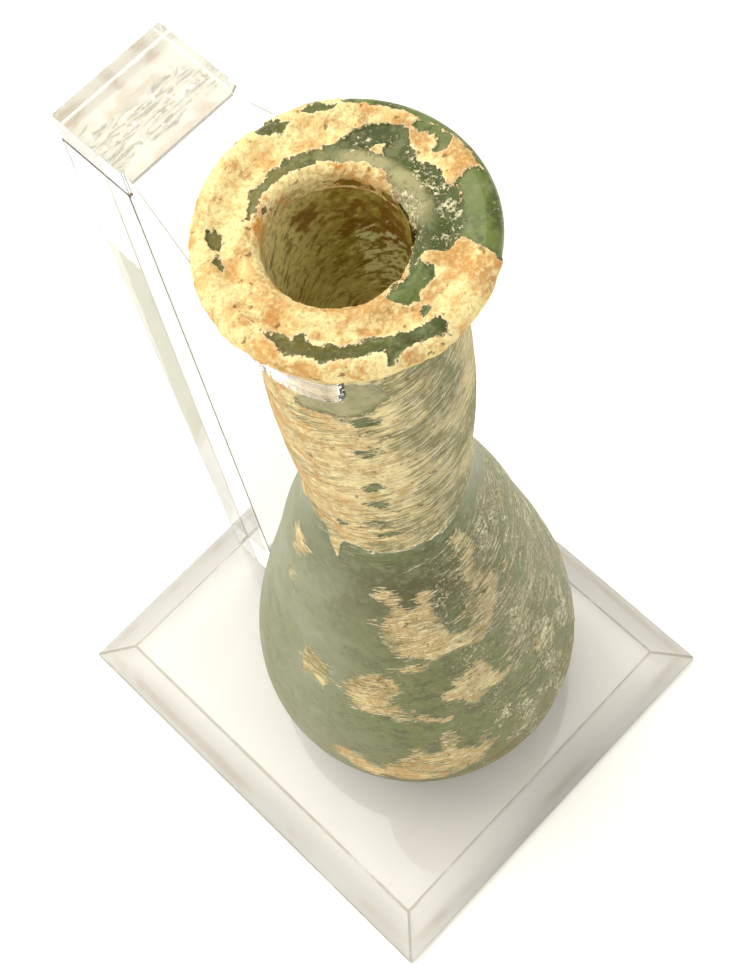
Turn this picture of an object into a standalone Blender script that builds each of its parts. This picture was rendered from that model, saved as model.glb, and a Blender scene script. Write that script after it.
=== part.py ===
"""Glass perfume flask with a low pear-shaped body and a flared rim, held upright by a clear acrylic stand.

Metres, +Z up. The origin is the centre of the slab's underside. The post stands at the back, on the +Y side,
and the open side of the fork's head faces the front, on the -Y side.
"""

import math

import bmesh
import bpy
from mathutils import Vector

MM = 0.001

# Slab
SLAB_WIDTH = 58.8 * MM
SLAB_DEPTH = 64.0 * MM
SLAB_THICK = 4.0 * MM
SLAB_LAND = 0.6 * MM
BEVEL_RUN = 4.5 * MM

# Post
POST_WIDTH = 13.2 * MM
POST_THICK = 9.3 * MM
POST_X = 2.9 * MM

# Fork
FORK_THICK = 3.2 * MM
PRONG_WIDTH = 1.6 * MM
TAIL_SHOULDER = 0.3 * MM
PRONG_TIP_DEG = 55.0

# Clearances
SEAT_GAP = 0.3 * MM
BELLY_GAP = 0.35 * MM
NECK_GAP = 0.3 * MM
RIM_GAP = 0.3 * MM

# Flask, outside: each rise is a height above the station below it, and the taper from the shoulder to the
# neck's foot takes what is left of the whole height
FLASK_HEIGHT = 117.7 * MM
FOOT_R = 13.0 * MM
BELLY_R = 21.4 * MM
BELLY_RISE = 12.5 * MM
SHOULDER_R = 15.1 * MM
SHOULDER_RISE = 33.5 * MM
NECK_FOOT_R = 8.85 * MM
NECK_SWELL_R = 9.4 * MM
NECK_SWELL_RISE = 16.5 * MM
NECK_TOP_R = 8.65 * MM
NECK_TOP_RISE = 20.5 * MM
FLARE_RISE = 4.2 * MM
RIM_R = 12.7 * MM
RIM_THICK = 3.0 * MM

# Flask, mouth and rim's top face
MOUTH_R = 6.05 * MM
MOUTH_SHIFT = -1.2 * MM
LIP_DEPTH = 1.5 * MM
COLLAR_WIDTH = 1.35 * MM
GROOVE_DEPTH = 0.6 * MM

# Flask, walls
WALL_FOOT = 2.4 * MM
WALL_BODY = 1.6 * MM
WALL_NECK = 2.4 * MM

SEGMENTS = 56
ARC_STEPS = 36


def clear_scene():
    for obj in list(bpy.data.objects):
        bpy.data.objects.remove(obj, do_unlink=True)


def make_material(name, colour, roughness, transmission, ior):
    mat = bpy.data.materials.new(name)
    mat.use_nodes = True
    shader = mat.node_tree.nodes["Principled BSDF"]
    shader.inputs["Base Color"].default_value = (*colour, 1.0)
    shader.inputs["Metallic"].default_value = 0.0
    shader.inputs["Roughness"].default_value = roughness
    shader.inputs["Transmission Weight"].default_value = transmission
    shader.inputs["IOR"].default_value = ior
    return mat


def add_object(name, bm, mat, smooth_deg=None):
    bmesh.ops.recalc_face_normals(bm, faces=bm.faces)
    mesh = bpy.data.meshes.new(name)
    bm.to_mesh(mesh)
    bm.free()
    mesh.materials.append(mat)
    if smooth_deg is not None:
        mesh.shade_smooth()
        mesh.set_sharp_from_angle(angle=math.radians(smooth_deg))
    obj = bpy.data.objects.new(name, mesh)
    bpy.context.scene.collection.objects.link(obj)
    return obj


def hermite(z0, r0, m0, z1, r1, m1, steps):
    """Points of a smooth curve of radius against height, leaving out the first."""
    out = []
    h = z1 - z0
    for i in range(1, steps + 1):
        t = i / steps
        a = (2 * t**3 - 3 * t**2 + 1) * r0 + (t**3 - 2 * t**2 + t) * h * m0
        b = (-2 * t**3 + 3 * t**2) * r1 + (t**3 - t**2) * h * m1
        out.append((z0 + h * t, a + b))
    return out


def smoothstep(t):
    t = min(1.0, max(0.0, t))
    return t * t * (3 - 2 * t)


# Stations of the outside, measured up from the flask's own foot
BELLY_Z = BELLY_RISE
SHOULDER_Z = BELLY_Z + SHOULDER_RISE
RIM_UNDER_Z = FLASK_HEIGHT - RIM_THICK
NECK_TOP_Z = RIM_UNDER_Z - FLARE_RISE
NECK_SWELL_Z = NECK_TOP_Z - NECK_TOP_RISE
NECK_FOOT_Z = NECK_SWELL_Z - NECK_SWELL_RISE
NECK_FOOT_RISE = NECK_FOOT_Z - SHOULDER_Z
COLLAR_R = MOUTH_R + COLLAR_WIDTH
CREST_R = RIM_R - RIM_THICK / 2

# The fork's top face lies just under the start of the rim's flare
FOOT_Z = SLAB_THICK + SEAT_GAP
FORK_TOP = FOOT_Z + NECK_TOP_Z - RIM_GAP
FORK_BOTTOM = FORK_TOP - FORK_THICK
POST_BOTTOM = SLAB_THICK + SEAT_GAP
POST_TOP = FORK_BOTTOM - SEAT_GAP

# The post's back is in line with the inner edge of the bevel, and the belly all but touches its front
POST_BACK = SLAB_DEPTH / 2 - BEVEL_RUN
POST_FRONT = POST_BACK - POST_THICK
AXIS_X = POST_X
AXIS_Y = POST_FRONT - BELLY_GAP - BELLY_R


def body_curve(steps):
    """(height, radius) from the foot's edge to the top of the neck."""
    quarter, low, high, neck_low, neck_high = steps
    pts = []
    for i in range(quarter + 1):
        a = math.pi / 2 * i / quarter
        pts.append((BELLY_Z * (1 - math.cos(a)), FOOT_R + (BELLY_R - FOOT_R) * math.sin(a)))
    below = (SHOULDER_R - BELLY_R) / SHOULDER_RISE
    above = (NECK_FOOT_R - SHOULDER_R) / NECK_FOOT_RISE
    slope = 2 * below * above / (below + above) if below * above > 0 else 0.0
    pts += hermite(BELLY_Z, BELLY_R, 0.0, SHOULDER_Z, SHOULDER_R, slope, low)
    pts += hermite(SHOULDER_Z, SHOULDER_R, slope, NECK_FOOT_Z, NECK_FOOT_R, 0.0, high)
    pts += hermite(NECK_FOOT_Z, NECK_FOOT_R, 0.0, NECK_SWELL_Z, NECK_SWELL_R, 0.0, neck_low)
    pts += hermite(NECK_SWELL_Z, NECK_SWELL_R, 0.0, NECK_TOP_Z, NECK_TOP_R, 0.0, neck_high)
    return pts


def wall_at(z):
    """Wall thickness along the height: thick foot, thinner body, stouter neck."""
    body = WALL_FOOT + (WALL_BODY - WALL_FOOT) * smoothstep(z / BELLY_Z)
    return body + (WALL_NECK - body) * smoothstep((z - SHOULDER_Z) / NECK_FOOT_RISE)


def inner_curve(steps):
    """The body curve moved in by the wall along its own normal."""
    pts = body_curve(steps)
    out = []
    for i, (z, r) in enumerate(pts):
        if i == 0:
            tangent = Vector((1.0, 0.0))
        else:
            j = min(i + 1, len(pts) - 1)
            tangent = Vector((pts[j][1] - pts[i - 1][1], pts[j][0] - pts[i - 1][0])).normalized()
        wall = wall_at(z)
        out.append((z + tangent.x * wall, r - tangent.y * wall))
    return out


def flask_rings():
    """(height, radius, sideways shift) of every ring, up the outside, over the rim and down the inside."""
    rings = [(z, r, 0.0) for z, r in body_curve((6, 6, 6, 3, 4))]
    flare_r = CREST_R - NECK_TOP_R
    for i in range(1, 4):
        a = math.pi / 2 * i / 3
        rings.append((NECK_TOP_Z + FLARE_RISE * math.sin(a), NECK_TOP_R + flare_r * (1 - math.cos(a)), 0.0))
    for i in range(1, 6):
        a = -math.pi / 2 + math.pi * i / 5
        z = RIM_UNDER_Z + RIM_THICK / 2 * (1 + math.sin(a))
        rings.append((z, CREST_R + RIM_THICK / 2 * math.cos(a), 0.0))
    groove_r = (CREST_R + COLLAR_R) / 2
    lip_z = FLASK_HEIGHT - LIP_DEPTH
    rings.append((FLASK_HEIGHT - GROOVE_DEPTH / 2, (CREST_R + groove_r) / 2, MOUTH_SHIFT * 0.25))
    rings.append((FLASK_HEIGHT - GROOVE_DEPTH, groove_r, MOUTH_SHIFT * 0.5))
    rings.append((FLASK_HEIGHT - GROOVE_DEPTH / 4, COLLAR_R, MOUTH_SHIFT))
    rings.append((FLASK_HEIGHT - LIP_DEPTH / 3, (COLLAR_R + MOUTH_R) / 2, MOUTH_SHIFT))
    rings.append((lip_z, MOUTH_R, MOUTH_SHIFT))
    inside = inner_curve((4, 5, 5, 3, 3))
    span = lip_z - NECK_SWELL_Z
    for z, r in reversed(inside):
        rings.append((z, r, MOUTH_SHIFT * smoothstep((z - NECK_SWELL_Z) / span)))
    return rings


def build_flask(mat):
    bm = bmesh.new()
    loops = []
    for z, r, shift in flask_rings():
        loop = []
        for k in range(SEGMENTS):
            a = 2 * math.pi * k / SEGMENTS
            loop.append(bm.verts.new((r * math.cos(a) + shift, r * math.sin(a), z)))
        loops.append(loop)
    for low, high in zip(loops, loops[1:]):
        for k in range(SEGMENTS):
            n = (k + 1) % SEGMENTS
            bm.faces.new((low[k], low[n], high[n], high[k]))
    bm.faces.new(tuple(reversed(loops[0])))
    bm.faces.new(tuple(loops[-1]))
    obj = add_object("flask", bm, mat, 40)
    obj.location = (AXIS_X, AXIS_Y, FOOT_Z)
    return obj


def build_slab(mat):
    """Slab with a low upright edge and a wide bevel up to its flat top."""
    bm = bmesh.new()
    rows = []
    for z, inset in ((0.0, 0.0), (SLAB_LAND, 0.0), (SLAB_THICK, BEVEL_RUN)):
        x = SLAB_WIDTH / 2 - inset
        y = SLAB_DEPTH / 2 - inset
        rows.append([bm.verts.new((sx * x, sy * y, z)) for sx, sy in ((-1, -1), (1, -1), (1, 1), (-1, 1))])
    for low, high in zip(rows, rows[1:]):
        for k in range(4):
            n = (k + 1) % 4
            bm.faces.new((low[k], low[n], high[n], high[k]))
    bm.faces.new(tuple(reversed(rows[0])))
    bm.faces.new(tuple(rows[-1]))
    return add_object("stand_base", bm, mat)


def build_post(mat):
    bm = bmesh.new()
    bmesh.ops.create_cube(bm, size=1.0)
    height = POST_TOP - POST_BOTTOM
    bmesh.ops.scale(bm, vec=(POST_WIDTH, POST_THICK, height), verts=bm.verts)
    bmesh.ops.translate(bm, vec=(0, 0, height / 2), verts=bm.verts)
    obj = add_object("stand_post", bm, mat)
    obj.location = (POST_X, (POST_FRONT + POST_BACK) / 2, POST_BOTTOM)
    return obj


def neck_radius_at_fork():
    """Widest radius of the neck where the fork's head goes round it."""
    low = FORK_BOTTOM - FOOT_Z
    high = FORK_TOP - FOOT_Z
    pts = body_curve((6, 6, 6, 12, 24))
    near = [r for z, r in pts if low - FORK_THICK <= z <= high + FORK_THICK]
    return max(near + [NECK_TOP_R])


def fork_outline():
    """Plan of the fork about the neck's axis, with the tail towards +Y, anticlockwise."""
    inner = neck_radius_at_fork() + NECK_GAP
    outer = inner + PRONG_WIDTH
    tail_front = POST_FRONT - AXIS_Y
    tail_back = POST_BACK - AXIS_Y
    half = POST_WIDTH / 2
    root = half - TAIL_SHOULDER
    # The tapered side leaves the tail's front corner and touches the head's outer circle
    reach = math.hypot(root, tail_front)
    towards = math.atan2(tail_front, root)
    touch = towards - math.acos(min(1.0, outer / reach))
    tip = math.radians(-90.0 + PRONG_TIP_DEG)
    mid = (inner + outer) / 2
    pts = []
    for i in range(ARC_STEPS + 1):
        a = touch + (tip - touch) * i / ARC_STEPS
        pts.append((outer * math.cos(a), outer * math.sin(a)))
    cap = PRONG_WIDTH / 2
    for i in range(1, 6):
        a = tip - math.pi * i / 6
        pts.append((mid * math.cos(tip) + cap * math.cos(a), mid * math.sin(tip) + cap * math.sin(a)))
    for i in range(ARC_STEPS + 1):
        a = tip + (math.pi / 2 - tip) * i / ARC_STEPS
        pts.append((inner * math.cos(a), inner * math.sin(a)))
    right = [(half, tail_back), (half, tail_front), (root, tail_front)] + pts
    left = [(-x, y) for x, y in reversed(right)][1:]
    return right + left


def build_fork(mat):
    bm = bmesh.new()
    face = bm.faces.new([bm.verts.new((x, y, 0.0)) for x, y in fork_outline()])
    grown = bmesh.ops.extrude_face_region(bm, geom=[face])
    raised = [v for v in grown["geom"] if isinstance(v, bmesh.types.BMVert)]
    bmesh.ops.translate(bm, vec=(0, 0, FORK_THICK), verts=raised)
    obj = add_object("stand_fork", bm, mat, 30)
    obj.location = (AXIS_X, AXIS_Y, FORK_BOTTOM)
    return obj


def main():
    clear_scene()
    glass = make_material("weathered_green_glass", (0.42, 0.45, 0.33), 0.4, 0.15, 1.5)
    clear = make_material("clear_acrylic", (0.97, 0.97, 0.94), 0.02, 1.0, 1.49)
    build_slab(clear)
    build_post(clear)
    build_fork(clear)
    build_flask(glass)


main()
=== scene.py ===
import math

import bpy
import numpy as np
from mathutils import Matrix, Vector


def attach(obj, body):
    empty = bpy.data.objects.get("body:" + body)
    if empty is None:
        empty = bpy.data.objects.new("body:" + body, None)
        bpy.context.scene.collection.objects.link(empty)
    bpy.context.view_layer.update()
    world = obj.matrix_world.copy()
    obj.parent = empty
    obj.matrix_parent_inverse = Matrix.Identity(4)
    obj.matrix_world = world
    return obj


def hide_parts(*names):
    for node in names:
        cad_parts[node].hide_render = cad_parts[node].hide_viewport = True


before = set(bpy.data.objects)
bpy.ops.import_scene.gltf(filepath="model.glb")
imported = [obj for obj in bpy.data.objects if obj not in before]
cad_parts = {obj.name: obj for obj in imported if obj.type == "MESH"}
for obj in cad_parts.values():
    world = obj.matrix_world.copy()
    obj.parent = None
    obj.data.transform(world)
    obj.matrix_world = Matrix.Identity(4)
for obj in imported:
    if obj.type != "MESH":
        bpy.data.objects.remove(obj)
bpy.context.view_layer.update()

MM = 0.001

# Optics and finish
GLASS_IOR = 1.5
ACRYLIC_IOR = 1.49
CEMENT_IOR = 1.45
OUTSIDE_SHEEN = 0.24
INSIDE_SHEEN = 0.2
# How gradually, in metres, the painted shade on an edge begins and ends
EDGE_FADE = 0.0015
# Painted glow (emission) that stands in for the light reaching the inside through the wall, and the cement
# through the plastic
INSIDE_GLOW = 0.38
CEMENT_GLOW = 0.15

# Sizes in millimetres, repeated from the part
AXIS_X = 2.9
AXIS_Y = -3.55
FOOT_Z = 4.3
FOOT_R = 13.0
BELLY_R = 21.4
BELLY_Z = 12.5
SHOULDER_R = 15.1
SHOULDER_Z = 46.0
NECK_FOOT_R = 8.85
NECK_FOOT_Z = 73.5
NECK_SWELL_R = 9.4
NECK_SWELL_Z = 90.0
NECK_TOP_R = 8.65
NECK_TOP_Z = 110.5
RIM_UNDER_Z = 114.7
RIM_R = 12.7
RIM_THICK = 3.0
HEIGHT = 117.7
CREST_R = RIM_R - RIM_THICK / 2
MOUTH_R = 6.05
MOUTH_SHIFT = -1.2
LIP_DEPTH = 1.5
COLLAR_R = 7.4
GROOVE_DEPTH = 0.6
FACE_DROP = 0.12
WALL_FOOT = 2.4
WALL_BODY = 1.6
WALL_NECK = 2.4


# Noise and shape helpers on arrays of points

def smoothstep(low, high, x):
    t = np.clip((x - low) / (high - low), 0.0, 1.0)
    return t * t * (3 - 2 * t)


def lattice(i, j, k, seed):
    h = (i * 374761393 + j * 668265263 + k * 1440662683 + seed * 1274126177) & 0xFFFFFFFF
    h = ((h ^ (h >> 13)) * 1274126177) & 0xFFFFFFFF
    return ((h ^ (h >> 16)) & 0xFFFF) / 32767.5 - 1.0


def noise(points, seed):
    """Smooth value noise from -1 to 1 at an array of points."""
    base = np.floor(points).astype(np.int64)
    f = points - base
    f = f * f * (3 - 2 * f)
    total = np.zeros(len(points))
    for a in (0, 1):
        for b in (0, 1):
            for c in (0, 1):
                weight = np.abs(1 - a - f[:, 0]) * np.abs(1 - b - f[:, 1]) * np.abs(1 - c - f[:, 2])
                total += weight * lattice(base[:, 0] + a, base[:, 1] + b, base[:, 2] + c, seed)
    return total


def fractal(points, size, octaves, seed, gain=0.55):
    """Sum of noises: the first has features about size across, each next one half of that."""
    total = np.zeros(len(points))
    weight = 1.0
    scale = 1.0 / size
    for n in range(octaves):
        total += weight * noise(points * scale + 17.3 * n, seed + n)
        weight *= gain
        scale *= 2.0
    return total


def depth_in(outline, x, y):
    """Signed distance to a closed outline, positive inside."""
    poly = np.array(outline, dtype=float)
    nxt = np.roll(poly, -1, axis=0)
    best = np.full(len(x), 1e9)
    inside = np.zeros(len(x), dtype=bool)
    for (ax, ay), (bx, by) in zip(poly, nxt):
        ex, ey = bx - ax, by - ay
        t = np.clip(((x - ax) * ex + (y - ay) * ey) / max(ex * ex + ey * ey, 1e-9), 0.0, 1.0)
        best = np.minimum(best, np.hypot(x - ax - t * ex, y - ay - t * ey))
        if ay != by:
            crosses = (ay > y) != (by > y)
            inside ^= crosses & (x < ax + (y - ay) * ex / ey)
    return np.where(inside, best, -best)


def depth_round(outline, angle, height, radius):
    """Signed distance to an outline of (degrees, height) points on a round wall of about the given radius."""
    middle = outline[0][0]
    local = [(((a - middle + 180) % 360 - 180) * math.pi / 180 * radius, h) for a, h in outline]
    turn = ((np.degrees(angle) - middle + 180) % 360 - 180) * math.pi / 180 * radius
    return depth_in(local, turn, height)


def angle_gap(angle, centre_deg):
    """Degrees between an angle and a direction, from 0 to 180."""
    return np.abs((np.degrees(angle) - centre_deg + 180) % 360 - 180)


def gentle_climb(angle, centre_deg):
    """How far a thread has climbed, as an angle: evenly across the side at centre_deg, and back down behind."""
    turn = angle - math.radians(centre_deg)
    return 1.27 * (np.sin(turn) - np.sin(3 * turn) / 9)


# The flask's surface as one profile, swept round

def hermite(z0, r0, m0, z1, r1, m1, steps):
    t = np.arange(1, steps + 1) / steps
    h = z1 - z0
    a = (2 * t**3 - 3 * t**2 + 1) * r0 + (t**3 - 2 * t**2 + t) * h * m0
    b = (-2 * t**3 + 3 * t**2) * r1 + (t**3 - t**2) * h * m1
    return [(z, r) for z, r in zip(z0 + h * t, a + b)]


def wall_at(z):
    body = WALL_FOOT + (WALL_BODY - WALL_FOOT) * smoothstep(0, BELLY_Z, z)
    return body + (WALL_NECK - body) * smoothstep(SHOULDER_Z, NECK_FOOT_Z, z)


def body_profile():
    """(height, radius) from the middle of the foot to the top of the neck."""
    pts = [(0.0, r) for r in np.linspace(0.05, FOOT_R - 0.3, 40)]
    for i in range(61):
        a = math.pi / 2 * i / 60
        pts.append((BELLY_Z * (1 - math.cos(a)), FOOT_R + (BELLY_R - FOOT_R) * math.sin(a)))
    below = (SHOULDER_R - BELLY_R) / (SHOULDER_Z - BELLY_Z)
    above = (NECK_FOOT_R - SHOULDER_R) / (NECK_FOOT_Z - SHOULDER_Z)
    slope = 2 * below * above / (below + above)
    pts += hermite(BELLY_Z, BELLY_R, 0, SHOULDER_Z, SHOULDER_R, slope, 80)
    pts += hermite(SHOULDER_Z, SHOULDER_R, slope, NECK_FOOT_Z, NECK_FOOT_R, 0, 80)
    pts += hermite(NECK_FOOT_Z, NECK_FOOT_R, 0, NECK_SWELL_Z, NECK_SWELL_R, 0, 40)
    pts += hermite(NECK_SWELL_Z, NECK_SWELL_R, 0, NECK_TOP_Z, NECK_TOP_R, 0, 40)
    return pts


def rim_profile():
    """(height, radius, shift) over the flare, round the rim's edge, across the top face and into the mouth."""
    pts = []
    for i in range(1, 31):
        a = math.pi / 2 * i / 30
        r = NECK_TOP_R + (CREST_R - NECK_TOP_R) * (1 - math.cos(a))
        pts.append((NECK_TOP_Z + (RIM_UNDER_Z - NECK_TOP_Z) * math.sin(a), r, 0.0))
    for i in range(1, 41):
        a = -math.pi / 2 + math.pi * i / 40
        pts.append((RIM_UNDER_Z + RIM_THICK / 2 * (1 + math.sin(a)), CREST_R + RIM_THICK / 2 * math.cos(a), 0.0))
    for i in range(1, 41):
        t = i / 40
        r = CREST_R + (COLLAR_R - CREST_R) * t
        dip = GROOVE_DEPTH * math.sin(math.pi * min(1.0, t * 1.05)) ** 1.4
        pts.append((HEIGHT - FACE_DROP * t - dip, r, MOUTH_SHIFT * t))
    for i in range(1, 21):
        a = math.pi / 2 * i / 20
        r = COLLAR_R + (MOUTH_R - COLLAR_R) * math.sin(a)
        pts.append((HEIGHT - FACE_DROP - (LIP_DEPTH - FACE_DROP) * (1 - math.cos(a)), r, MOUTH_SHIFT))
    for i in range(1, 11):
        pts.append((HEIGHT - LIP_DEPTH - 0.12 * i, MOUTH_R, MOUTH_SHIFT))
    return pts


def inner_profile():
    """The body's profile moved in by the wall, from the mouth down to the middle of the floor."""
    pts = body_profile()[40:]
    out = []
    for i, (z, r) in enumerate(pts):
        j = min(i + 1, len(pts) - 1)
        k = max(i - 1, 0)
        dz, dr = pts[j][0] - pts[k][0], pts[j][1] - pts[k][1]
        size = math.hypot(dz, dr)
        wall = wall_at(np.array([z]))[0]
        out.append((z + dr / size * wall, r - dz / size * wall))
    out = [(out[0][0], r) for r in np.linspace(0.05, out[0][1] - 0.3, 30)] + out
    lip = HEIGHT - LIP_DEPTH
    out = [p for p in out if p[0] < lip - 3]
    out.append((lip, MOUTH_R))
    shifted = []
    for z, r in reversed(out):
        t = min(1.0, max(0.0, (z - NECK_SWELL_Z) / (lip - NECK_SWELL_Z)))
        shifted.append((z, r, MOUTH_SHIFT * t * t * (3 - 2 * t)))
    return shifted


def resample(profile, spacing):
    """Points at an even spacing along a profile, with the normal in the (radius, height) plane."""
    p = np.array(profile, dtype=float)
    step = np.hypot(np.diff(p[:, 0]), np.diff(p[:, 1]))
    s = np.concatenate([[0], np.cumsum(step)])
    count = max(2, int(round(s[-1] / spacing)) + 1)
    at = np.linspace(0, s[-1], count)
    z, r, shift = (np.interp(at, s, p[:, c]) for c in range(3))
    dz, dr = np.gradient(z), np.gradient(r)
    size = np.maximum(np.hypot(dz, dr), 1e-9)
    return at, z, r, shift, dz / size, -dr / size


class Skin:
    """A ring-by-ring grid of points on one stretch of the flask, with its outward normals."""

    def __init__(self, profile, spacing, segments):
        s, z, r, shift, nr, nz = resample(profile, spacing)
        self.rings = len(s)
        self.segments = segments
        turn = 2 * math.pi * np.arange(segments) / segments
        self.angle = np.tile(turn, self.rings)
        spread = [np.repeat(v, segments) for v in (s, z, r, shift, nr, nz)]
        self.s, self.z, self.r, self.shift, self.nr, self.nz = spread
        self.cos, self.sin = np.cos(self.angle), np.sin(self.angle)
        self.angle = (self.angle + math.pi) % (2 * math.pi) - math.pi
        self.base = self.points(0.0)

    def points(self, lift):
        """The surface moved along its normal by lift, in the flask's own millimetres."""
        r = self.r + self.nr * lift
        z = self.z + self.nz * lift
        return np.stack([r * self.cos + self.shift, r * self.sin, z], -1)

    def make(self, name, lift, values, material):
        """The lifted surface as one mesh with point attributes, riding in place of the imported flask."""
        world = (self.points(lift) + [AXIS_X, AXIS_Y, FOOT_Z]) * MM
        n, m = self.segments, self.rings
        low = (np.arange(m - 1)[:, None] * n + np.arange(n)[None, :]).ravel()
        right = (np.arange(m - 1)[:, None] * n + (np.arange(n)[None, :] + 1) % n).ravel()
        quads = np.stack([low, right, right + n, low + n], -1)
        mesh = bpy.data.meshes.new(name)
        mesh.vertices.add(len(world))
        mesh.vertices.foreach_set("co", world.ravel().astype(np.float32))
        mesh.loops.add(quads.size)
        mesh.loops.foreach_set("vertex_index", quads.ravel().astype(np.int32))
        mesh.polygons.add(len(quads))
        mesh.polygons.foreach_set("loop_start", np.arange(0, quads.size, 4, dtype=np.int32))
        mesh.update(calc_edges=True)
        mesh.validate()
        mesh.shade_smooth()
        for key, data in values.items():
            kind = "FLOAT_VECTOR" if np.ndim(data) == 2 else "FLOAT"
            layer = mesh.attributes.new(key, kind, "POINT")
            field = "vector" if kind == "FLOAT_VECTOR" else "value"
            layer.data.foreach_set(field, np.asarray(data, dtype=np.float32).ravel())
        mesh.materials.append(material)
        obj = bpy.data.objects.new(name, mesh)
        bpy.context.scene.collection.objects.link(obj)
        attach(obj, "root")
        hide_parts("flask")
        return obj


# Shader helpers

class Graph:
    """A small wrapper that adds and links the nodes of one material."""

    def __init__(self, name):
        self.mat = bpy.data.materials.new(name)
        self.mat.use_nodes = True
        self.tree = self.mat.node_tree
        self.shader = self.tree.nodes["Principled BSDF"]

    def put(self, socket, value):
        if isinstance(value, bpy.types.NodeSocket):
            self.tree.links.new(value, socket)
        elif isinstance(value, tuple) and len(value) == 3 and socket.type == "RGBA":
            socket.default_value = (*value, 1.0)
        else:
            socket.default_value = value

    def shade(self, name, value):
        """Sets or links one input of the material's shader."""
        self.put(self.shader.inputs[name], value)

    def math(self, operation, a, b=0.0, clamp=False):
        made = self.tree.nodes.new("ShaderNodeMath")
        made.operation = operation
        made.use_clamp = clamp
        self.put(made.inputs[0], a)
        self.put(made.inputs[1], b)
        return made.outputs[0]

    def ramp(self, value, low, high):
        """0 below low, 1 above high, smooth between."""
        made = self.tree.nodes.new("ShaderNodeMapRange")
        made.interpolation_type = "SMOOTHSTEP"
        self.put(made.inputs["Value"], value)
        made.inputs["From Min"].default_value = low
        made.inputs["From Max"].default_value = high
        return made.outputs["Result"]

    def mix(self, factor, a, b, blend="MIX"):
        made = self.tree.nodes.new("ShaderNodeMix")
        made.data_type = "RGBA"
        made.blend_type = blend
        self.put(made.inputs["Factor"], factor)
        for socket in made.inputs:
            if socket.type == "RGBA" and socket.name == "A":
                self.put(socket, a)
            if socket.type == "RGBA" and socket.name == "B":
                self.put(socket, b)
        return [o for o in made.outputs if o.type == "RGBA"][0]

    def attribute(self, name, vector=False):
        made = self.tree.nodes.new("ShaderNodeAttribute")
        made.attribute_name = name
        return made.outputs["Vector" if vector else "Fac"]

    def axes(self, vector):
        """The x, y and z of a vector."""
        made = self.tree.nodes.new("ShaderNodeSeparateXYZ")
        self.put(made.inputs[0], vector)
        return list(made.outputs)

    def place(self):
        return self.tree.nodes.new("ShaderNodeTexCoord").outputs["Object"]

    def scaled(self, vector, scale):
        made = self.tree.nodes.new("ShaderNodeVectorMath")
        made.operation = "MULTIPLY"
        self.put(made.inputs[0], vector)
        made.inputs[1].default_value = scale
        return made.outputs[0]

    def noise(self, vector, scale, detail=4.0, rough=0.6, warp=0.0):
        made = self.tree.nodes.new("ShaderNodeTexNoise")
        self.put(made.inputs["Vector"], vector)
        made.inputs["Scale"].default_value = scale
        made.inputs["Detail"].default_value = detail
        made.inputs["Roughness"].default_value = rough
        made.inputs["Distortion"].default_value = warp
        return made.outputs[0]

    def bump(self, height, strength, distance):
        made = self.tree.nodes.new("ShaderNodeBump")
        made.inputs["Strength"].default_value = strength
        made.inputs["Distance"].default_value = distance
        self.put(made.inputs["Height"], height)
        return made.outputs[0]


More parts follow.
